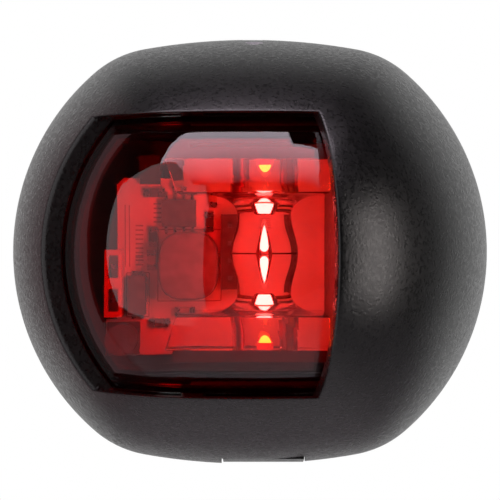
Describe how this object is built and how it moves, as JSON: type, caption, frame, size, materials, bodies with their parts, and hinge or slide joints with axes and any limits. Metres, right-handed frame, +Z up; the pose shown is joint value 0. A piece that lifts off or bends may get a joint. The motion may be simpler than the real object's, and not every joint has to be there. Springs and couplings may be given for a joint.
{
  "type": "navigation light",
  "caption": "Side-mounted port navigation light: domed black cover with a sector window, red lens and two-lamp light module on a wall base.",
  "frame": {"origin": "centre of the base's back face, on the wall that holds the light", "axes": "+Y into the wall, so the light stands out along -Y; +Z up; +X to the right as seen from the front"},
  "size_m": [0.072, 0.044, 0.0643],
  "materials": {
    "black_abs": "fine spark-textured black plastic",
    "black_rubber": "matt moulded rubber",
    "steel": "stainless",
    "tin": "tinned",
    "white_board": "white solder mask over glass-epoxy board",
    "black_board": "black solder mask over metal-cored board",
    "ferrite": "dark grey pressed ferrite",
    "black_epoxy": "moulded epoxy",
    "orange_plastic": "moulded nylon",
    "tan_ceramic": "ceramic chip",
    "white_package": "white moulded package",
    "lit_phosphor": "lit phosphor under clear silicone",
    "clear_plastic": "clear polished acrylic",
    "red_lens": "transparent red polycarbonate, polished"
  },
  "bodies": {
    "base": {"base_plate": "black_abs", "cable_grommet": "black_rubber", "module_tray": "black_abs", "tray_screws": "steel", "lens_seal": "black_rubber", "driver_board": "white_board", "board_screws": "steel", "power_inductor": "ferrite", "inductor_terminals": "tin", "driver_chip": "black_epoxy", "chip_legs": "tin", "surge_suppressor": "black_epoxy", "suppressor_terminals": "tin", "input_capacitor": "black_epoxy", "supply_terminal": "orange_plastic", "terminal_pins": "tin", "chip_resistors": "black_epoxy", "ceramic_capacitors": "tan_ceramic", "link_header": "black_epoxy", "header_pins": "tin", "sector_screen": "black_abs", "upper_led_board": "black_board", "lower_led_board": "black_board", "upper_led": "white_package", "lower_led": "white_package", "upper_phosphor": "lit_phosphor", "lower_phosphor": "lit_phosphor", "upper_optic": "clear_plastic", "lower_optic": "clear_plastic"},
    "cover": {"cover": "black_abs", "lens": "red_lens"},
    "latch": {"release_latch": "black_abs"}
  },
  "joints": [
    {"name": "cover_lift", "type": "slide", "parent": "base", "child": "cover", "axis": [0, -1, 0], "range_m": [0, 0.05]},
    {"name": "latch_press", "type": "hinge", "parent": "base", "child": "latch", "pos_m": [0.002, -0.002, -0.0293], "axis": [-1, 0, 0], "range_deg": [0, 6], "stiffness_Nm_per_rad": 0.06}
  ]
}
